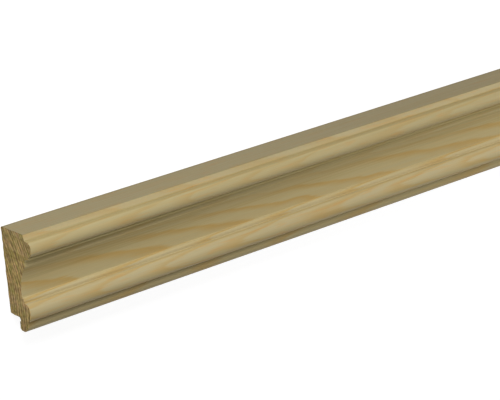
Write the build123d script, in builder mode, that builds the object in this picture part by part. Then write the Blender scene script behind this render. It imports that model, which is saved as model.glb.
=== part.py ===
from build123d import *
from math import asin, cos, degrees, radians, sin, sqrt
import os

# Picture frame moulding: one straight length of machined pine, lying on its back.
# X runs along the length. Y runs across the face, from the sight edge (-Y) to the outer edge (+Y).
# Z rises from the back face to the crown of the upper bead. All sizes are in millimetres.

# Stock size
length = 2400.0
width = 40.0
thickness = 20.0

# Outer edge: a plain face that leans in towards the back
outer_arris_drop = 4.75
outer_lean = 0.9

# Slight rounding of the two arrises of the back face
back_arris_radius = 0.4

# Flat strip beside the outer arris, and the riser that ends it
strip_width = 2.35
strip_rise = 0.6
strip_riser = 2.3

# Upper bead, with a quirk and a small fillet on its inner side
upper_bead_radius = 3.15
upper_bead_end_angle = 152.0
upper_quirk_width = 0.75
upper_quirk_depth = 1.0
upper_fillet_width = 0.6
upper_fillet_drop = 0.8
upper_fillet_riser = 1.45

# Hollow under the fillet, which runs out in a narrow ledge
hollow_width = 2.5
hollow_drop = 1.55
hollow_sagitta = 0.5
ledge_width = 0.95
ledge_drop = 0.1

# Cove between the ledge and the foot of the lower step: a steeper arc from the ledge down to a bend,
# and a flatter one that goes on smoothly from there
cove_bend_width = 5.15
cove_bend_drop = 3.4
cove_bend_sagitta = 0.3
cove_foot_drop = 10.3

# Lower step: a rounded riser and a narrow land
step_width = 0.85
step_sagitta = 0.28
land_drop = 8.9
land_width = 0.95

# Lower bead
lower_bead_drop = 5.35
lower_bead_radius = 4.15
lower_bead_start_angle = 33.0
lower_bead_end_angle = 143.0

# Lip: the sight edge that covers the glass, with a quirk beside the lower bead
lip_width = 4.4
lip_face_drop = 8.15
# How far its face falls on the way to the rounded nose
lip_face_fall = 0.25
lip_nose_radius = 3.3
lip_back_radius = 1.0
# Its two roundings may take at most these shares of its thickness
nose_share = 0.7
back_share = 0.2
lower_quirk_width = 0.75
lower_quirk_depth = 0.55

# Rebate for the glass, the picture and its backing, with a cutter's relief in its corner
rebate_width = 5.05
rebate_depth = 6.2
relief_offset = 0.3
relief_width = 1.3
relief_depth = 0.6

quarter_turn = 90

# Faces that the section is set out from
outer_y = width / 2
sight_y = -width / 2
crown_z = thickness

# Outer edge and strip
back_outer = (outer_y - outer_lean, 0.0)
outer_arris = (outer_y, crown_z - outer_arris_drop)
strip_end = (outer_y - strip_width, outer_arris[1] + strip_rise)
upper_bead_foot = (strip_end[0], strip_end[1] + strip_riser)

# The upper bead's circle touches the crown plane and passes through the riser's top
upper_bead_z = crown_z - upper_bead_radius
foot_height = upper_bead_foot[1] - upper_bead_z
upper_bead_y = upper_bead_foot[0] - sqrt(upper_bead_radius**2 - foot_height**2)
upper_bead_start_angle = degrees(asin(foot_height / upper_bead_radius))
upper_bead_end = (
    upper_bead_y + upper_bead_radius * cos(radians(upper_bead_end_angle)),
    upper_bead_z + upper_bead_radius * sin(radians(upper_bead_end_angle)),
)

# Quirk, fillet, hollow and ledge follow the bead inwards
upper_quirk = (upper_bead_end[0] - upper_quirk_width / 2, upper_bead_end[1] - upper_quirk_depth)
fillet_outer = (upper_bead_end[0] - upper_quirk_width, upper_bead_end[1] - upper_fillet_drop)
fillet_inner = (fillet_outer[0] - upper_fillet_width, fillet_outer[1])
hollow_top = (fillet_inner[0], fillet_inner[1] - upper_fillet_riser)
ledge_outer = (hollow_top[0] - hollow_width, hollow_top[1] - hollow_drop)
ledge_inner = (ledge_outer[0] - ledge_width, ledge_outer[1] - ledge_drop)
cove_bend = (ledge_inner[0] - cove_bend_width, ledge_inner[1] - cove_bend_drop)

# Lip and rebate, from the sight edge
lip_face_z = crown_z - lip_face_drop
lip_nose_z = lip_face_z - lip_face_fall
lip_wall = lip_nose_z - rebate_depth
lip_back = min(lip_back_radius, back_share * lip_wall)
lip_nose = min(lip_nose_radius, nose_share * lip_wall)
lip_outer = (sight_y + lip_width, lip_face_z)
nose_start = (sight_y + lip_nose, lip_nose_z)
nose_end = (sight_y, lip_nose_z - lip_nose)
lip_back_start = (sight_y, rebate_depth + lip_back)
lip_back_end = (sight_y + lip_back, rebate_depth)
rebate_y = sight_y + rebate_width
relief_start = (rebate_y - relief_offset - relief_width, rebate_depth)
relief_end = (rebate_y - relief_offset, rebate_depth)
rebate_corner = (rebate_y, rebate_depth)
back_rebate = (rebate_y, 0.0)

# Lower bead, its riser, land and step, from the lip outwards
lower_quirk = (lip_outer[0] + lower_quirk_width / 2, lip_face_z - lower_quirk_depth)
lower_bead_z = crown_z - lower_bead_drop - lower_bead_radius
lower_bead_end_y = lip_outer[0] + lower_quirk_width
lower_bead_y = lower_bead_end_y - lower_bead_radius * cos(radians(lower_bead_end_angle))
lower_bead_end = (lower_bead_end_y, lower_bead_z + lower_bead_radius * sin(radians(lower_bead_end_angle)))
lower_bead_foot = (
    lower_bead_y + lower_bead_radius * cos(radians(lower_bead_start_angle)),
    lower_bead_z + lower_bead_radius * sin(radians(lower_bead_start_angle)),
)
land_inner = (lower_bead_foot[0], crown_z - land_drop)
land_outer = (land_inner[0] + land_width, land_inner[1])
cove_foot = (land_outer[0] + step_width, crown_z - cove_foot_drop)

with BuildPart() as frame_moulding:
    with BuildSketch(Plane.YZ.offset(-length / 2)) as section:
        with BuildLine():
            # Outer edge, strip and riser
            Polyline(back_outer, outer_arris, strip_end, upper_bead_foot)
            # Upper bead, quirk and fillet
            CenterArc(
                (upper_bead_y, upper_bead_z),
                upper_bead_radius,
                upper_bead_start_angle,
                upper_bead_end_angle - upper_bead_start_angle,
            )
            Polyline(upper_bead_end, upper_quirk, fillet_outer, fillet_inner, hollow_top)
            # Hollow, ledge and cove
            SagittaArc(hollow_top, ledge_outer, hollow_sagitta)
            Line(ledge_outer, ledge_inner)
            steep_cove = SagittaArc(ledge_inner, cove_bend, cove_bend_sagitta)
            TangentArc(cove_bend, cove_foot, tangent=steep_cove % 1)
            # Rounded step, land and riser
            SagittaArc(cove_foot, land_outer, -step_sagitta)
            Polyline(land_outer, land_inner, lower_bead_foot)
            # Lower bead and quirk
            CenterArc(
                (lower_bead_y, lower_bead_z),
                lower_bead_radius,
                lower_bead_start_angle,
                lower_bead_end_angle - lower_bead_start_angle,
            )
            Polyline(lower_bead_end, lower_quirk, lip_outer, nose_start)
            # Lip, rounded at the sight edge
            CenterArc((nose_start[0], nose_end[1]), lip_nose, quarter_turn, quarter_turn)
            Line(nose_end, lip_back_start)
            CenterArc((lip_back_end[0], lip_back_start[1]), lip_back, 2 * quarter_turn, quarter_turn)
            # Rebate with its relief, then the back face
            Line(lip_back_end, relief_start)
            SagittaArc(relief_start, relief_end, relief_depth)
            Polyline(relief_end, rebate_corner, back_rebate, back_outer)
        make_face()
        back_arrises = [
            section.vertices().sort_by_distance(corner)[0] for corner in (back_outer, back_rebate)
        ]
        fillet(back_arrises, radius=back_arris_radius)
    extrude(amount=length)

frame_moulding.part.label = "frame_moulding"

os.makedirs("parts", exist_ok=True)
export_step(frame_moulding.part, "parts/frame_moulding.step")
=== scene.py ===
from math import asin, atan2, ceil, cos, degrees, hypot, pi, radians, sin, sqrt, tan

import bpy
from mathutils import Matrix, Vector, noise
from mathutils.geometry import delaunay_2d_cdt


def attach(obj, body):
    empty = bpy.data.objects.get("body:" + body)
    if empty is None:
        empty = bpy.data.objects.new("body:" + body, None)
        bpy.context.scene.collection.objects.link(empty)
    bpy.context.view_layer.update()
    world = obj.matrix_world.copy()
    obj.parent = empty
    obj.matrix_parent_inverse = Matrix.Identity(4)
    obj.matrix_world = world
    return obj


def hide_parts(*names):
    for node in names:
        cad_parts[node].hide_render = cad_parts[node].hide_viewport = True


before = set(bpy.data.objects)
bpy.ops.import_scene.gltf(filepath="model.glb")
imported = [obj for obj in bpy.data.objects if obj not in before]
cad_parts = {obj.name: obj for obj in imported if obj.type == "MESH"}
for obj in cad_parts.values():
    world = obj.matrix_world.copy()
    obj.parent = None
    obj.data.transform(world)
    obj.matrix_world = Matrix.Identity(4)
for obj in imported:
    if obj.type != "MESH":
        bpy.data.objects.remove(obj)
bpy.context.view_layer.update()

# Picture frame moulding in raw pine, lying on its back on a pale floor.
# X runs along the length, Y across the face towards the outer edge, Z up from the back face.
# Lengths are in millimetres up to the point where the mesh is made.

MM = 0.001

# Section, the same sizes as in the part's source
length = 2400.0
width = 40.0
thickness = 20.0
outer_arris_drop = 4.75
outer_lean = 0.9
strip_width = 2.35
strip_rise = 0.6
strip_riser = 2.3
upper_bead_radius = 3.15
upper_bead_end_angle = 152.0
upper_quirk_width = 0.75
upper_quirk_depth = 1.0
upper_fillet_width = 0.6
upper_fillet_drop = 0.8
upper_fillet_riser = 1.45
hollow_width = 2.5
hollow_drop = 1.55
hollow_sagitta = 0.5
ledge_width = 0.95
ledge_drop = 0.1
cove_bend_width = 5.15
cove_bend_drop = 3.4
cove_bend_sagitta = 0.3
cove_foot_drop = 10.3
step_width = 0.85
step_sagitta = 0.28
land_drop = 8.9
land_width = 0.95
lower_bead_drop = 5.35
lower_bead_radius = 4.15
lower_bead_start_angle = 33.0
lower_bead_end_angle = 143.0
lip_width = 4.4
lip_face_drop = 8.15
lip_face_fall = 0.25
lip_nose_radius = 3.3
lip_back_radius = 1.0
lower_quirk_width = 0.75
lower_quirk_depth = 0.55
rebate_width = 5.05
rebate_depth = 6.2
relief_offset = 0.3
relief_width = 1.3
relief_depth = 0.6

# How far the cutters and handling have softened the arrises and the inner corners
back_softening = 0.45
arris_softening = 0.28
corner_softening = 0.14
softening_steps = 4
# A corner takes at most this share of the run on each side of it
softening_limit = 0.4

# Spacing of the mesh round the section and along the length
arc_spacing = 0.4
flat_spacing = 1.6
flat_support = 0.06
end_offsets = (0.7, 1.6, 3.2, 6.4, 12.0, 24.0)
station_spacing = 24.0

# Points inside a sawn end: a grid of even triangles, each point moved a little, none close to the
# edge. The last three are shares of the grid's spacing.
end_grid = 0.5
end_row_height = 0.866
end_jitter = 0.22
end_clearance = 0.6

# Depth of the sawn ends' roughness, and of the fibres torn off along their edges
saw_depth = 0.16
torn_depth = 0.34

# Rows that the length is cut into on the texture sheet, and the band beside them for the two ends,
# one a step above the other
sheet_rows = 5
sheet_gap = 0.004
end_band = 0.10
end_step = 0.3
# The hidden faces get this share of the height that the seen ones get. They lie under the rebate's
# seat and clear of the outer edge, with these margins.
hidden_share = 0.5
seat_margin = 0.1
edge_margin = 0.5

# Growth rings: the pith runs behind the back and wanders in long waves, by a rate in radians per
# millimetre, and the rings bulge in the middle of the width
pith_y = 1.73
pith_z = -36.0
pith_sway_y = -1.71
pith_sway_z = 11.71
sway_rate = 0.0044
bulge = 2.5
bulge_width = 34.0
ring_radii = (
    47.2, 48.8, 50.9, 52.6, 54.1, 55.7, 57.6, 59.0, 60.3, 61.2, 63.3, 64.3, 66.0,
)
# How strongly they show on the lower bead and the lip, in the upper half of the cove and the
# hollow, and from the upper bead outwards, where 1 is the lower half of the cove
lower_bead_rings = 0.78
upper_cove_rings = 0.36
upper_bead_rings = 0.54
# Centre of the rings as the sawn ends show them, and the radius at which a turn round it counts as
# a length
end_pith_y = -11.0
end_pith_z = -37.0
end_turn_radius = 50.0

# Colours of the wood, linear. Those named tint multiply what lies under them.
earlywood = (0.480, 0.392, 0.197, 1.0)
latewood = (0.468, 0.322, 0.112, 1.0)
thin_tint = (0.95, 0.93, 0.83, 1.0)
streak_warm_tint = (1.02, 0.995, 0.955, 1.0)
streak_cool_tint = (0.98, 1.005, 1.045, 1.0)
fleck_tint = (1.055, 0.945, 0.84, 1.0)
outer_pale_tint = (0.615, 0.632, 0.635, 1.0)
outer_dark_tint = (0.585, 0.568, 0.445, 1.0)
outer_far_tint = (0.93, 0.905, 0.82, 1.0)
# Painted shade at the foot of the outer edge and of the sawn ends
foot_shade_tint = (0.76, 0.76, 0.62, 1.0)
lip_tint = (0.865, 0.855, 0.83, 1.0)
bead_tint = (0.955, 0.955, 0.945, 1.0)
# Painted sheen on the step, the lower bead's side, the strip and the outer edge
sheen_tint = (1.02, 1.03, 1.10, 1.0)
# Painted light on the ledge and the upper half of the cove
painted_light_tint = (1.07, 1.06, 1.03, 1.0)
# Painted shade in the hollow, and deeper painted shade in the creases
hollow_shade_tint = (0.96, 0.95, 0.87, 1.0)
crease_shade_tint = (0.87, 0.86, 0.78, 1.0)
end_olive_tint = (0.85, 0.87, 0.54, 1.0)
end_red_tint = (1.13, 0.92, 0.86, 1.0)

# Zones across the face, by their Y. Each fades in from its first place to its second, and out from
# its third to its fourth.
lower_bead_zone = (-15.2, -14.8, -8.5, -8.0)
step_zone = (-12.5, -10.5, -6.6, -6.0)
thin_zone = (-3.0, 3.0, 11.0, 12.0)
# Painted light on the ledge and the upper half of the cove
painted_light_zone = (-3.5, 1.0, 8.4, 8.9)
# Painted shade in the hollow
hollow_zone = (8.2, 8.8, 11.0, 11.5)
upper_bead_zone = (12.6, 13.6, 17.0, 17.4)
# Where the upper bead's flecks and the strip begin, each with its soft edge
fleck_start = (13.0, 14.0)
strip_start = (17.4, 17.9)
# Creases with painted shade: low in the hollow, beside the upper quirk, and at the strip's riser
creases = (9.0, 11.2, width / 2 - strip_width)

# Camera, from the perspective of the photograph: its place, and which way the picture's right and
# down point
camera_place = (-1549.485, 295.343, 642.819)
camera_right = (0.79514, -0.06937, 0.60244)
camera_down = (-0.26493, -0.93336, 0.24220)
lens = 154.8
sensor = 36.0

# Distant soft lamps: name, angle from +Y over the top to -Y, turn towards +X, softness in degrees,
# strength
suns = (
    ("key", 36.0, -12.0, 24.0, 1.25),
    ("back", 143.0, -12.0, 20.0, 0.56),
)
# Long panels beside the length: name, start and end along X, angle over the top, distance, width
# and brightness
panels = (
    ("near", -1750.0, -1110.0, 42.0, 260.0, 80.0, 4.3),
    ("side", -850.0, 1300.0, 42.0, 260.0, 80.0, 1.2),
    ("top", -1050.0, 1300.0, 85.0, 260.0, 80.0, 3.1),
)
world_strength = 0.02

# Floor: half its width and how far it lies below the part, both in metres, its grey for the light
# that it throws back, and the grey and the glow that are seen
floor_reach = 60.0
floor_drop = 0.0001
floor_grey = 0.6
floor_seen_grey = 0.25
floor_glow = 0.9


def arc(centre, radius, start, end):
    """Points on an arc, from its start angle to its end angle."""
    count = max(8, ceil(abs(end - start) / 2))
    angles = [radians(start + (end - start) * i / count) for i in range(count + 1)]
    return [(centre[0] + radius * cos(a), centre[1] + radius * sin(a)) for a in angles]


def bow(start, end, sagitta):
    """Points on the arc between two points that bulges to the left of the way by its sagitta."""
    chord = hypot(end[0] - start[0], end[1] - start[1])
    radius = (chord**2 / 4 + sagitta**2) / (2 * abs(sagitta))
    side = 1 if sagitta > 0 else -1
    left = (-(end[1] - start[1]) / chord * side, (end[0] - start[0]) / chord * side)
    inset = radius - abs(sagitta)
    centre = (
        (start[0] + end[0]) / 2 - left[0] * inset,
        (start[1] + end[1]) / 2 - left[1] * inset,
    )
    first = degrees(atan2(start[1] - centre[1], start[0] - centre[0]))
    last = degrees(atan2(end[1] - centre[1], end[0] - centre[0]))
    sweep = (last - first + 180) % 360 - 180
    return arc(centre, radius, first, first + sweep)


def going_on(points, end):
    """Points on the arc that goes on smoothly from the end of a run to a point."""
    start, before = points[-1], points[-2]
    step = hypot(start[0] - before[0], start[1] - before[1])
    heading = ((start[0] - before[0]) / step, (start[1] - before[1]) / step)
    chord = (end[0] - start[0], end[1] - start[1])
    reach = hypot(*chord)
    turn = asin((heading[0] * chord[1] - heading[1] * chord[0]) / reach)
    return bow(start, end, -reach / 2 * tan(turn / 2))


def section_runs():
    """The section as runs of points, each with how much the corner at its end is softened."""
    outer_y = width / 2
    sight_y = -width / 2
    back_outer = (outer_y - outer_lean, 0.0)
    outer_arris = (outer_y, thickness - outer_arris_drop)
    strip_end = (outer_y - strip_width, outer_arris[1] + strip_rise)
    upper_bead_foot = (strip_end[0], strip_end[1] + strip_riser)

    upper_bead_z = thickness - upper_bead_radius
    foot_height = upper_bead_foot[1] - upper_bead_z
    upper_bead_y = upper_bead_foot[0] - sqrt(upper_bead_radius**2 - foot_height**2)
    upper_bead = arc(
        (upper_bead_y, upper_bead_z),
        upper_bead_radius,
        degrees(asin(foot_height / upper_bead_radius)),
        upper_bead_end_angle,
    )
    upper_bead_end = upper_bead[-1]

    upper_quirk = (upper_bead_end[0] - upper_quirk_width / 2, upper_bead_end[1] - upper_quirk_depth)
    fillet_outer = (upper_bead_end[0] - upper_quirk_width, upper_bead_end[1] - upper_fillet_drop)
    fillet_inner = (fillet_outer[0] - upper_fillet_width, fillet_outer[1])
    hollow_top = (fillet_inner[0], fillet_inner[1] - upper_fillet_riser)
    ledge_outer = (hollow_top[0] - hollow_width, hollow_top[1] - hollow_drop)
    ledge_inner = (ledge_outer[0] - ledge_width, ledge_outer[1] - ledge_drop)
    cove_bend = (ledge_inner[0] - cove_bend_width, ledge_inner[1] - cove_bend_drop)

    lip_face_z = thickness - lip_face_drop
    lip_outer = (sight_y + lip_width, lip_face_z)
    nose_start = (sight_y + lip_nose_radius, lip_face_z - lip_face_fall)
    nose_end = (sight_y, nose_start[1] - lip_nose_radius)
    lip_back_start = (sight_y, rebate_depth + lip_back_radius)
    lip_back_end = (sight_y + lip_back_radius, rebate_depth)
    rebate_y = sight_y + rebate_width
    relief_start = (rebate_y - relief_offset - relief_width, rebate_depth)
    relief_end = (rebate_y - relief_offset, rebate_depth)
    rebate_corner = (rebate_y, rebate_depth)
    back_rebate = (rebate_y, 0.0)

    lower_quirk = (lip_outer[0] + lower_quirk_width / 2, lip_face_z - lower_quirk_depth)
    lower_bead_z = thickness - lower_bead_drop - lower_bead_radius
    lower_bead_end_y = lip_outer[0] + lower_quirk_width
    lower_bead_y = lower_bead_end_y - lower_bead_radius * cos(radians(lower_bead_end_angle))
    lower_bead = arc(
        (lower_bead_y, lower_bead_z),
        lower_bead_radius,
        lower_bead_start_angle,
        lower_bead_end_angle,
    )
    land_inner = (lower_bead[0][0], thickness - land_drop)
    land_outer = (land_inner[0] + land_width, land_inner[1])
    cove_foot = (land_outer[0] + step_width, thickness - cove_foot_drop)

    steep_cove = bow(ledge_inner, cove_bend, cove_bend_sagitta)
    cove = steep_cove + going_on(steep_cove, cove_foot)[1:]
    nose_centre = (nose_start[0], nose_end[1])
    lip_back_centre = (lip_back_end[0], lip_back_start[1])
    return [
        ([back_outer, outer_arris], arris_softening),
        ([outer_arris, strip_end], corner_softening),
        ([strip_end, upper_bead_foot], arris_softening),
        (upper_bead, corner_softening),
        ([upper_bead_end, upper_quirk], corner_softening),
        ([upper_quirk, fillet_outer], corner_softening),
        ([fillet_outer, fillet_inner], corner_softening),
        ([fillet_inner, hollow_top], corner_softening),
        (bow(hollow_top, ledge_outer, hollow_sagitta), corner_softening),
        ([ledge_outer, ledge_inner], arris_softening),
        (cove, corner_softening),
        (bow(cove_foot, land_outer, -step_sagitta), corner_softening),
        ([land_outer, land_inner], corner_softening),
        ([land_inner, lower_bead[0]], arris_softening),
        (lower_bead, corner_softening),
        ([lower_bead[-1], lower_quirk], corner_softening),
        ([lower_quirk, lip_outer], corner_softening),
        ([lip_outer, nose_start], corner_softening),
        (arc(nose_centre, lip_nose_radius, 90, 180), corner_softening),
        ([nose_end, lip_back_start], corner_softening),
        (arc(lip_back_centre, lip_back_radius, 180, 270), corner_softening),
        ([lip_back_end, relief_start], corner_softening),
        (bow(relief_start, relief_end, relief_depth), corner_softening),
        ([relief_end, rebate_corner], corner_softening),
        ([rebate_corner, back_rebate], back_softening),
        ([back_rebate, back_outer], back_softening),
    ]


def point_at(points, distance):
    """The point at a distance along a run."""
    for a, b in zip(points, points[1:]):
        step = hypot(b[0] - a[0], b[1] - a[1])
        if distance <= step:
            share = distance / step
            return (a[0] + (b[0] - a[0]) * share, a[1] + (b[1] - a[1]) * share)
        distance -= step
    return points[-1]


def section_outline():
    """One closed ring of points, with the corners between the runs rounded off."""
    runs = section_runs()
    trimmed = []
    for i, (points, softening) in enumerate(runs):
        run_length = sum(hypot(b[0] - a[0], b[1] - a[1]) for a, b in zip(points, points[1:]))
        start = min(runs[i - 1][1], run_length * softening_limit)
        stop = run_length - min(softening, run_length * softening_limit)
        spacing = arc_spacing if len(points) > 2 else flat_spacing
        count = max(1, ceil((stop - start) / spacing))
        places = [start + (stop - start) * k / count for k in range(count + 1)]
        # A point close to each end keeps a flat face flat where it meets its rounded corners
        support = min(flat_support, (stop - start) / 4)
        places.insert(1, places[0] + support)
        places.insert(-1, places[-1] - support)
        trimmed.append([point_at(points, place) for place in places])
    ring = []
    for i, points in enumerate(trimmed):
        ring += points
        corner = runs[i][0][-1]
        before, after = points[-1], trimmed[(i + 1) % len(trimmed)][0]
        for k in range(1, softening_steps):
            t = k / softening_steps
            first, middle, last = (1 - t) ** 2, 2 * t * (1 - t), t**2
            ring.append(tuple(
                first * before[c] + middle * corner[c] + last * after[c] for c in (0, 1)
            ))
    return ring


def inside(ring, y, z):
    """True if a point lies inside the section."""
    crossings = 0
    for (ay, az), (by, bz) in zip(ring, ring[1:] + ring[:1]):
        if (az > z) != (bz > z) and y < ay + (z - az) / (bz - az) * (by - ay):
            crossings += 1
    return crossings % 2 == 1


def edge_distance(ring, y, z):
    """How far a point is from the nearest edge of the section's ring."""
    nearest = width
    for (ay, az), (by, bz) in zip(ring, ring[1:] + ring[:1]):
        along_y, along_z = by - ay, bz - az
        share = ((y - ay) * along_y + (z - az) * along_z) / (along_y**2 + along_z**2)
        share = min(1.0, max(0.0, share))
        nearest = min(nearest, hypot(y - ay - share * along_y, z - az - share * along_z))
    return nearest


def end_cover(ring):
    """Points inside the section and the triangles that cover it. Points of the ring come first."""
    points = [Vector(p) for p in ring]
    rows = ceil(thickness / (end_grid * end_row_height)) + 1
    columns = ceil(width / end_grid) + 1
    for row in range(rows):
        for column in range(columns):
            z = row * end_grid * end_row_height
            y = -width / 2 + (column + 0.5 * (row % 2)) * end_grid
            shift_y = noise.noise(Vector((y * 3.1, z * 3.3, 5.0))) * end_jitter * end_grid
            shift_z = noise.noise(Vector((y * 3.1, z * 3.3, 9.0))) * end_jitter * end_grid
            y, z = y + shift_y, z + shift_z
            if inside(ring, y, z) and edge_distance(ring, y, z) > end_grid * end_clearance:
                points.append(Vector((y, z)))
    edges = [(i, (i + 1) % len(ring)) for i in range(len(ring))]
    # Triangles inside the ring only. Points closer than the last number would count as one.
    _, _, faces, origins, _, _ = delaunay_2d_cdt(points, edges, [], 1, 1e-5)
    first = [origin[0] for origin in origins]
    return [tuple(p) for p in points], [tuple(first[i] for i in face) for face in faces]


def end_roughness(y, z, side):
    """How far the saw went in at a point of an end face: fine ridges, and fibres pulled out."""
    ridges = noise.noise(Vector((y * 0.25, z * 1.9, 3.0 * side)))
    fibres = noise.noise(Vector((y * 1.9, z * 1.9, 7.0 * side)))
    return saw_depth * (0.5 + 0.35 * ridges + 0.5 * fibres)


def torn_fibres(y, z, side):
    """How far the edge of an end face is broken back."""
    coarse = noise.noise(Vector((y * 0.45, z * 0.45, 11.0 * side)))
    fine = noise.noise(Vector((y * 1.4, z * 1.4, 13.0 * side)))
    return torn_depth * max(0.0, 0.35 + 0.6 * coarse + 0.5 * fine)


def stations():
    """Places along the length, close together at the ends, and one at each cut of the sheet."""
    half = length / 2
    places = {0.0, length}
    for offset in end_offsets:
        places.add(offset)
        places.add(length - offset)
    row_length = length / sheet_rows
    for row in range(sheet_rows):
        start, stop = row * row_length, (row + 1) * row_length
        count = ceil(row_length / station_spacing)
        for k in range(count + 1):
            place = start + (stop - start) * k / count
            if end_offsets[-1] < place < length - end_offsets[-1]:
                places.add(round(place, 4))
    return [place - half for place in sorted(places)]


def sheet_shares(ring):
    """Share of a sheet row's height up to each point of the ring, with less for hidden faces."""
    shares = [0.0]
    for (ay, az), (by, bz) in zip(ring, ring[1:] + ring[:1]):
        under_seat = max(az, bz) < rebate_depth + seat_margin
        hidden = under_seat and (ay + by) / 2 < width / 2 - outer_lean - edge_margin
        shares.append(shares[-1] + hypot(by - ay, bz - az) * (hidden_share if hidden else 1.0))
    return [share / shares[-1] for share in shares]


def make_moulding():
    """The moulding as one closed mesh with its own texture sheet."""
    ring = section_outline()
    count = len(ring)
    places = stations()
    vertices, faces, sheet = [], [], []
    for i, x in enumerate(places):
        for y, z in ring:
            back = 0.0
            if i == 0:
                back = torn_fibres(y, z, 1)
            elif i == len(places) - 1:
                back = -torn_fibres(y, z, 2)
            vertices.append((x + back, y, z))

    # The faces along the length
    shares = sheet_shares(ring)
    row_length = length / sheet_rows
    row_height = 1.0 / sheet_rows
    band_start = 1.0 - end_band
    row_reach = band_start - 2 * sheet_gap
    for i in range(len(places) - 1):
        middle = (places[i] + places[i + 1]) / 2 + length / 2
        row = min(sheet_rows - 1, int(middle // row_length))
        across = [
            sheet_gap + (place + length / 2 - row * row_length) / row_length * row_reach
            for place in places[i:i + 2]
        ]
        for j in range(count):
            up = [
                row * row_height + sheet_gap + shares[k] * (row_height - 2 * sheet_gap)
                for k in (j, j + 1)
            ]
            k = (j + 1) % count
            faces.append((i * count + j, i * count + k, (i + 1) * count + k, (i + 1) * count + j))
            sheet += [(across[a], up[b]) for a, b in ((0, 0), (0, 1), (1, 1), (1, 0))]

    # The two sawn ends
    points, cover = end_cover(ring)
    scale = (end_band - sheet_gap) / thickness
    last_ring = (len(places) - 1) * count
    # Number of the end, its first vertex on the ring, its X, and the way round its faces go
    ends = ((1, 0, places[0], -1), (2, last_ring, places[-1], 1))
    for side, first_ring, x, order in ends:
        start = len(vertices)
        inward = -order
        for y, z in points[count:]:
            vertices.append((x + inward * end_roughness(y, z, side), y, z))
        for face in cover:
            corners = face[::order]
            faces.append(tuple(first_ring + c if c < count else start + c - count for c in corners))
            for c in corners:
                y, z = points[c]
                sheet.append((
                    band_start + z * scale,
                    sheet_gap + (side - 1) * end_step + (y + width / 2) * scale,
                ))

    mesh = bpy.data.meshes.new("moulding")
    mesh.from_pydata([(x * MM, y * MM, z * MM) for x, y, z in vertices], [], faces)
    layer = mesh.uv_layers.new(name="OFBake")
    for loop, place in zip(layer.data, sheet):
        loop.uv = place
    mesh.polygons.foreach_set("use_smooth", [True] * len(mesh.polygons))
    rims = {
        frozenset((first + j, first + (j + 1) % count))
        for first in (0, last_ring)
        for j in range(count)
    }
    for edge in mesh.edges:
        if frozenset(edge.vertices) in rims:
            edge.use_edge_sharp = True
    mesh.validate()
    mesh.update()
    return mesh


class Nodes:
    """Short calls that add nodes to a material and link them."""

    def __init__(self, tree):
        self.tree = tree

    def add(self, kind, *inputs, output=0, **settings):
        node = self.tree.nodes.new(kind)
        for name, value in settings.items():
            setattr(node, name, value)
        for socket, value in zip(node.inputs, inputs):
            self.set(socket, value)
        return node.outputs[output]

    def set(self, socket, value):
        if isinstance(value, bpy.types.NodeSocket):
            self.tree.links.new(value, socket)
        elif value is not None:
            socket.default_value = value

    def math(self, operation, a, b=None, c=None):
        return self.add("ShaderNodeMath", a, b, c, operation=operation)

    def distance(self, a, b):
        """How far a place is from the origin, by its two parts."""
        return self.math("SQRT", self.math("MULTIPLY_ADD", b, b, self.math("MULTIPLY", a, a)))

    def combine(self, x, y, z):
        return self.add("ShaderNodeCombineXYZ", x, y, z)

    def split(self, vector):
        """The three parts of a vector."""
        node = self.tree.nodes.new("ShaderNodeSeparateXYZ")
        self.set(node.inputs[0], vector)
        return node.outputs

    def noise(self, vector, detail=2.0, roughness=0.5):
        """Noise of about 0 to 1 with features one unit across."""
        node = self.tree.nodes.new("ShaderNodeTexNoise")
        self.set(node.inputs["Vector"], vector)
        node.inputs["Scale"].default_value = 1.0
        node.inputs["Detail"].default_value = detail
        node.inputs["Roughness"].default_value = roughness
        return node.outputs[0]

    def stretch(self, place, x, y, z, offset=0.0):
        """The place over the size of the features wanted along each axis. Offsets part the noises."""
        rates = (1 / x, 1 / y, 1 / z)
        scaled = self.add("ShaderNodeVectorMath", place, rates, operation="MULTIPLY")
        return self.add("ShaderNodeVectorMath", scaled, (offset, offset, offset), operation="ADD")

    def ramp(self, value, low, high, to_low=0.0, to_high=1.0, smooth=True, clamp=True):
        """A value taken from one range to another, held at both ends unless clamp is False."""
        node = self.tree.nodes.new("ShaderNodeMapRange")
        node.interpolation_type = "SMOOTHSTEP" if smooth else "LINEAR"
        node.clamp = clamp
        names = ("Value", "From Min", "From Max", "To Min", "To Max")
        for name, v in zip(names, (value, low, high, to_low, to_high)):
            self.set(node.inputs[name], v)
        return node.outputs[0]

    def band(self, value, zone):
        """1 in a zone and 0 beyond its four places."""
        start, full, falling, end = zone
        rise = self.ramp(value, start, full)
        fall = self.ramp(value, falling, end, 1.0, 0.0)
        return self.math("MULTIPLY", rise, fall)

    def spread(self, value, low, high):
        """Noise, which lies mostly between 0.3 and 0.7, spread over a range."""
        return self.ramp(value, 0.3, 0.7, low, high, False)

    def times(self, colour, by):
        """A colour multiplied by another."""
        return self.mix(1.0, colour, by, "MULTIPLY")

    def tint(self, share, colour, by):
        """A colour multiplied by another where the share is 1."""
        return self.mix(share, colour, self.times(colour, by))

    def blend(self, share, a, b):
        """A number from a to b. The input left out is the share for vectors."""
        return self.add("ShaderNodeMix", share, None, a, b)

    def mix(self, share, a, b, blend="MIX"):
        """A colour from a to b."""
        node = self.tree.nodes.new("ShaderNodeMix")
        node.data_type = "RGBA"
        node.blend_type = blend
        self.set(node.inputs["Factor"], share)
        self.set(node.inputs[6], a)
        self.set(node.inputs[7], b)
        return node.outputs[2]


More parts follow.
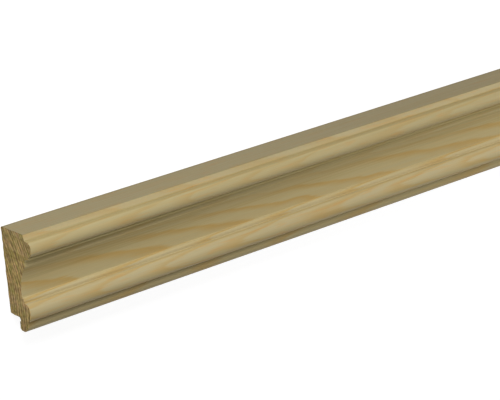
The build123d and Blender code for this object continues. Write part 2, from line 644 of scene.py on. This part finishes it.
def face_radius(n, x, y, z):
    """Distance from the pith on the faces along the length."""
    along = n.math("ADD", x, length / 2)
    sway = n.math("SINE", n.math("MULTIPLY", along, sway_rate))
    off_y = n.math("SUBTRACT", y, pith_y)
    off_y = n.math("SUBTRACT", off_y, n.math("MULTIPLY", sway, pith_sway_y))
    off_z = n.math("SUBTRACT", z, pith_z)
    off_z = n.math("ADD", off_z, n.math("MULTIPLY", sway, pith_sway_z))
    radius = n.distance(off_y, off_z)
    around = n.math("COSINE", n.math("MULTIPLY", y, 2 * pi / bulge_width))
    return n.math("MULTIPLY_ADD", around, bulge, radius)


def uneven(n, place, radius):
    """A distance from the pith with the rings' own unevenness added."""
    slow = n.noise(n.stretch(place, 45.0, 9.0, 9.0, 113.0), 2.0)
    quick = n.noise(n.stretch(place, 18.0, 5.0, 5.0, 59.0), 1.0)
    streak = n.noise(n.stretch(place, 40.0, 0.5, 0.5, 27.0), 2.0)
    for shift, most in ((slow, 0.4), (quick, 0.45), (streak, 0.2)):
        radius = n.math("ADD", radius, n.ramp(shift, 0.0, 1.0, -most, most, False))
    return radius


def latewood_share(n, radius):
    """How much of the dark latewood shows at a distance from the pith."""
    # Ring number: whole at the outer side of each ring
    first, last = ring_radii[0], ring_radii[-1]
    curve_node = n.tree.nodes.new("ShaderNodeFloatCurve")
    curve = curve_node.mapping.curves[0]
    curve_node.mapping.extend = "EXTRAPOLATED"
    curve_node.mapping.use_clip = False
    rings = len(ring_radii) - 1
    for i, r in enumerate(ring_radii[1:-1], start=1):
        curve.points.new((r - first) / (last - first), i / rings)
    for point in curve.points:
        point.handle_type = "VECTOR"
    curve_node.mapping.update()
    n.set(curve_node.inputs["Value"], n.ramp(radius, first, last, 0.0, 1.0, False, False))
    number = n.math("MULTIPLY", curve_node.outputs[0], float(rings))

    # Through each ring: none at first, then more and more, with a sharp end. The whole number added
    # keeps the ring number above 0 inside the first ring.
    phase = n.math("FRACT", n.math("ADD", number, 40.0))
    return n.math("MULTIPLY", n.ramp(phase, 0.38, 0.88), n.ramp(phase, 0.86, 1.0, 1.0, 0.0))


def face_colour(n, place, dark, fibre):
    """Colour of the faces along the length."""
    x, y, z = n.split(place)

    # Latewood in the earlywood, with fibres and clouding
    cloud = n.noise(n.stretch(place, 50.0, 7.0, 7.0, 23.0), 2.0)
    colour = n.mix(dark, earlywood, latewood)
    level = n.ramp(fibre, 0.25, 0.75, -0.035, 0.035, False)
    level = n.math("ADD", level, n.spread(cloud, 0.98, 1.02))

    # Thin lines from the middle of the cove to the upper quirk
    lined = n.band(y, thin_zone)
    thin = n.noise(n.stretch(place, 60.0, 0.6, 0.6, 63.0), 2.0)
    level = n.math("MULTIPLY_ADD", lined, n.spread(thin, 0.04, -0.04), level)
    colour = n.times(colour, n.combine(level, level, level))
    thin_lines = n.math("MULTIPLY", lined, n.ramp(thin, 0.48, 0.62))
    colour = n.tint(thin_lines, colour, thin_tint)

    # Long warm and cool streaks all over
    streaks = n.noise(n.stretch(place, 70.0, 0.9, 0.9, 51.0), 2.0)
    streak_tint = n.mix(n.spread(streaks, 0.0, 1.0), streak_warm_tint, streak_cool_tint)
    colour = n.times(colour, streak_tint)

    # Short warm flecks on the two beads, the strip and the outer edge
    lower_bead = n.band(y, lower_bead_zone)
    flecked = n.math("MAXIMUM", n.ramp(y, *fleck_start), lower_bead)
    flecks = n.noise(n.stretch(place, 11.0, 0.9, 0.9, 71.0), 1.0)
    flecks = n.math("MULTIPLY", flecked, n.ramp(flecks, 0.57, 0.68))
    colour = n.tint(flecks, colour, fleck_tint)

    # The outer edge is darker and greyer and has lines of its own. It gets darker still along the
    # part of the length that the photograph shows, and at its foot.
    lean = outer_lean / (thickness - outer_arris_drop)
    plane = n.math("MULTIPLY_ADD", z, lean, width / 2 - outer_lean)
    outer = n.ramp(n.math("SUBTRACT", plane, y), 0.05, 0.3, 1.0, 0.0)
    lines = n.noise(n.stretch(place, 45.0, 0.9, 0.9, 57.0), 3.0, 0.6)
    outer_tint = n.mix(n.spread(lines, 0.0, 1.0), outer_pale_tint, outer_dark_tint)
    colour = n.tint(outer, colour, outer_tint)
    far = n.math("MULTIPLY", outer, n.ramp(x, -1090.0, -960.0))
    colour = n.tint(far, colour, outer_far_tint)
    # Painted shade at the foot, where the rounded arris turns away from the light
    foot = n.math("MULTIPLY", outer, n.ramp(z, 0.8, 2.0, 1.0, 0.0))
    colour = n.tint(foot, colour, foot_shade_tint)

    # The lip is a little darker, and so is the upper bead
    lip_end = lip_width - width / 2
    colour = n.tint(n.ramp(y, lip_end, lip_end + 0.3, 1.0, 0.0), colour, lip_tint)
    colour = n.tint(n.band(y, upper_bead_zone), colour, bead_tint)

    # The step and the side of the lower bead towards it get a painted sheen, paler and bluer, and so
    # do the strip and the outer edge
    step = n.band(y, step_zone)
    colour = n.tint(n.math("MAXIMUM", step, n.ramp(y, *strip_start)), colour, sheen_tint)

    # Painted light makes the ledge and the cove, down to its middle, a little paler
    colour = n.tint(n.band(y, painted_light_zone), colour, painted_light_tint)

    # Painted shade in the hollow and on the fillet, deepest in the creases
    colour = n.tint(n.band(y, hollow_zone), colour, hollow_shade_tint)
    for crease in creases:
        away = n.math("ABSOLUTE", n.math("SUBTRACT", y, crease))
        colour = n.tint(n.ramp(away, 0.1, 0.4, 1.0, 0.0), colour, crease_shade_tint)
    return colour


def make_pine():
    """Raw pine: growth rings in three dimensions, long fibres, and rougher sawn ends."""
    material = bpy.data.materials.new("raw_pine")
    material.use_nodes = True
    tree = material.node_tree
    tree.nodes.clear()
    n = Nodes(tree)

    # Object coordinates, in millimetres
    metres = n.add("ShaderNodeTexCoord", output=3)
    place = n.add("ShaderNodeVectorMath", metres, (1 / MM, 1 / MM, 1 / MM), operation="MULTIPLY")
    x, y, z = n.split(place)

    # 1 on the sawn ends
    facing = tree.nodes.new("ShaderNodeNewGeometry").outputs["True Normal"]
    sawn = n.ramp(n.math("ABSOLUTE", n.split(facing)[0]), 0.45, 0.6)

    # Growth rings
    side_radius = face_radius(n, x, y, z)
    end_y, end_z = n.math("SUBTRACT", y, end_pith_y), n.math("SUBTRACT", z, end_pith_z)
    end_radius = n.distance(end_y, end_z)
    ring = latewood_share(n, uneven(n, place, n.blend(sawn, side_radius, end_radius)))

    # The rings show most in the lower half of the cove
    lower = n.ramp(y, -8.0, -7.0, lower_bead_rings, 1.0)
    cove = n.ramp(y, 0.5, 4.5, 1.0, upper_cove_rings)
    upper = n.math("MAXIMUM", cove, n.ramp(y, 11.0, 12.5, 0.0, upper_bead_rings))
    dark = n.math("MULTIPLY", ring, n.math("MULTIPLY", lower, upper))

    fibre = n.noise(n.stretch(place, 30.0, 0.35, 0.35, 17.0), 3.0, 0.6)
    colour = face_colour(n, place, dark, fibre)

    # The sawn ends: saw lines, pores and mottling, all along the rings
    bend = n.math("MULTIPLY", n.math("ARCTAN2", end_y, end_z), end_turn_radius)
    across = n.combine(x, bend, end_radius)
    saw_line = n.noise(n.stretch(across, 40.0, 9.0, 1.0, 31.0), 1.0)
    pores = n.noise(n.stretch(across, 40.0, 1.8, 1.0, 37.0), 1.0)
    mottle = n.noise(n.stretch(across, 40.0, 5.0, 1.6, 41.0), 2.0)
    end_level = n.math("ADD", n.spread(saw_line, 0.76, 1.30), n.spread(pores, -0.33, 0.33))
    end_level = n.math("SUBTRACT", end_level, n.math("MULTIPLY", ring, 0.5))
    end_level = n.math("MAXIMUM", end_level, 0.45)
    end_tint = n.mix(n.spread(mottle, 0.0, 1.0), end_olive_tint, end_red_tint)
    end_colour = n.times(colour, end_tint)
    # Painted shade at the foot of the sawn ends
    end_colour = n.tint(n.ramp(z, 0.3, 1.6, 1.0, 0.0), end_colour, foot_shade_tint)
    end_colour = n.times(end_colour, n.combine(end_level, end_level, end_level))
    colour = n.mix(sawn, colour, end_colour)

    # Latewood is a little smoother, and the sawn ends are rougher
    rough = n.ramp(fibre, 0.2, 0.8, 0.50, 0.62, False)
    rough = n.math("ADD", rough, n.math("MULTIPLY", dark, -0.06))
    rough = n.math("ADD", rough, n.math("MULTIPLY", sawn, 0.3))

    # Relief: fibres and rings on the faces, saw lines and pores on the ends
    face_relief = n.math("ADD", n.math("MULTIPLY", fibre, 0.6), n.math("MULTIPLY", dark, 0.35))
    end_relief = n.math("ADD", n.math("MULTIPLY", pores, 6.0), n.math("MULTIPLY", saw_line, 4.0))
    relief = n.blend(sawn, face_relief, end_relief)
    bump = tree.nodes.new("ShaderNodeBump")
    bump.inputs["Strength"].default_value = 0.5
    bump.inputs["Distance"].default_value = 0.00003
    tree.links.new(relief, bump.inputs["Height"])

    shader = tree.nodes.new("ShaderNodeBsdfPrincipled")
    tree.links.new(colour, shader.inputs["Base Color"])
    tree.links.new(rough, shader.inputs["Roughness"])
    tree.links.new(bump.outputs[0], shader.inputs["Normal"])
    shader.inputs["IOR"].default_value = 1.45
    shader.inputs["Specular IOR Level"].default_value = 0.3
    output = tree.nodes.new("ShaderNodeOutputMaterial")
    tree.links.new(shader.outputs[0], output.inputs["Surface"])
    return material


def seen_directly(n):
    """1 for camera, glossy and transmission rays, which see the plain background."""
    path = n.tree.nodes.new("ShaderNodeLightPath").outputs
    through = n.math("MAXIMUM", path["Is Glossy Ray"], path["Is Transmission Ray"])
    return n.math("MAXIMUM", path["Is Camera Ray"], through)


def make_floor():
    """A wide pale floor that reads as white and keeps the object's shadow."""
    mesh = bpy.data.meshes.new("floor")
    corners = [
        (along * floor_reach, across * floor_reach, -floor_drop)
        for along, across in ((-1, -1), (1, -1), (1, 1), (-1, 1))
    ]
    mesh.from_pydata(corners, [], [(0, 1, 2, 3)])
    floor = bpy.data.objects.new("floor", mesh)
    bpy.context.scene.collection.objects.link(floor)
    material = bpy.data.materials.new("floor")
    material.use_nodes = True
    tree = material.node_tree
    tree.nodes.clear()
    n = Nodes(tree)
    lit = n.add("ShaderNodeBsdfDiffuse", (floor_grey, floor_grey, floor_grey, 1.0))
    seen_grey = (floor_seen_grey, floor_seen_grey, floor_seen_grey, 1.0)
    seen = n.add("ShaderNodeBsdfDiffuse", seen_grey)
    glow = n.add("ShaderNodeEmission", (1.0, 1.0, 1.0, 1.0), floor_glow)
    both = n.add("ShaderNodeAddShader", seen, glow)
    shader = n.add("ShaderNodeMixShader", seen_directly(n), lit, both)
    output = tree.nodes.new("ShaderNodeOutputMaterial")
    tree.links.new(shader, output.inputs["Surface"])
    mesh.materials.append(material)


def make_world():
    """Even light from all round; what is seen of it is plain white."""
    world = bpy.data.worlds.new("world")
    bpy.context.scene.world = world
    world.use_nodes = True
    tree = world.node_tree
    tree.nodes.clear()
    n = Nodes(tree)
    light = n.add("ShaderNodeBackground", (1.0, 1.0, 1.0, 1.0), world_strength)
    white = n.add("ShaderNodeBackground", (1.0, 1.0, 1.0, 1.0), 1.0)
    shader = n.add("ShaderNodeMixShader", seen_directly(n), light, white)
    output = tree.nodes.new("ShaderNodeOutputWorld")
    tree.links.new(shader, output.inputs["Surface"])


def make_sun(name, over, turn, softness, strength):
    """A soft distant lamp. Its angles, over and turn, are as in the list of suns."""
    lamp = bpy.data.lights.new(name, "SUN")
    lamp.energy = strength
    lamp.angle = radians(softness)
    holder = bpy.data.objects.new(name, lamp)
    a, t = radians(over), radians(turn)
    towards = Vector((sin(t), cos(t) * cos(a), cos(t) * sin(a)))
    holder.rotation_mode = "QUATERNION"
    holder.rotation_quaternion = towards.to_track_quat("Z", "Y")
    bpy.context.scene.collection.objects.link(holder)


def make_panel(name, start, stop, over, distance, breadth, brightness):
    """A long soft lamp that faces the moulding and isn't seen itself."""
    lamp = bpy.data.lights.new(name, "AREA")
    lamp.shape = "RECTANGLE"
    lamp.size = (stop - start) * MM
    lamp.size_y = breadth * MM
    lamp.energy = brightness * pi * lamp.size * lamp.size_y
    holder = bpy.data.objects.new(name, lamp)
    a = radians(over)
    towards = Vector((0.0, cos(a), sin(a)))
    along = Vector((1.0, 0.0, 0.0))
    turn = Matrix((along, towards.cross(along), towards)).transposed()
    holder.matrix_world = Matrix.Translation(
        Vector(((start + stop) / 2, distance * cos(a), thickness / 2 + distance * sin(a))) * MM
    ) @ turn.to_4x4()
    holder.visible_camera = False
    bpy.context.scene.collection.objects.link(holder)


def make_camera():
    """The photograph's view: no shift, no depth of field."""
    right, down = Vector(camera_right).normalized(), Vector(camera_down)
    down = (down - down.dot(right) * right).normalized()
    forward = right.cross(down)
    turn = Matrix((right, -down, -forward)).transposed()
    data = bpy.data.cameras.new("camera")
    data.lens = lens
    data.sensor_width = sensor
    data.sensor_fit = "HORIZONTAL"
    camera = bpy.data.objects.new("camera", data)
    camera.matrix_world = Matrix.Translation(Vector(camera_place) * MM) @ turn.to_4x4()
    bpy.context.scene.collection.objects.link(camera)
    bpy.context.scene.camera = camera


bpy.context.scene.view_settings.view_transform = "Standard"
make_camera()
make_world()
make_floor()
for sun in suns:
    make_sun(*sun)
for panel in panels:
    make_panel(*panel)

moulding = bpy.data.objects.new("moulding", make_moulding())
moulding.data.materials.append(make_pine())
bpy.context.scene.collection.objects.link(moulding)
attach(moulding, "root")
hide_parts("frame_moulding")
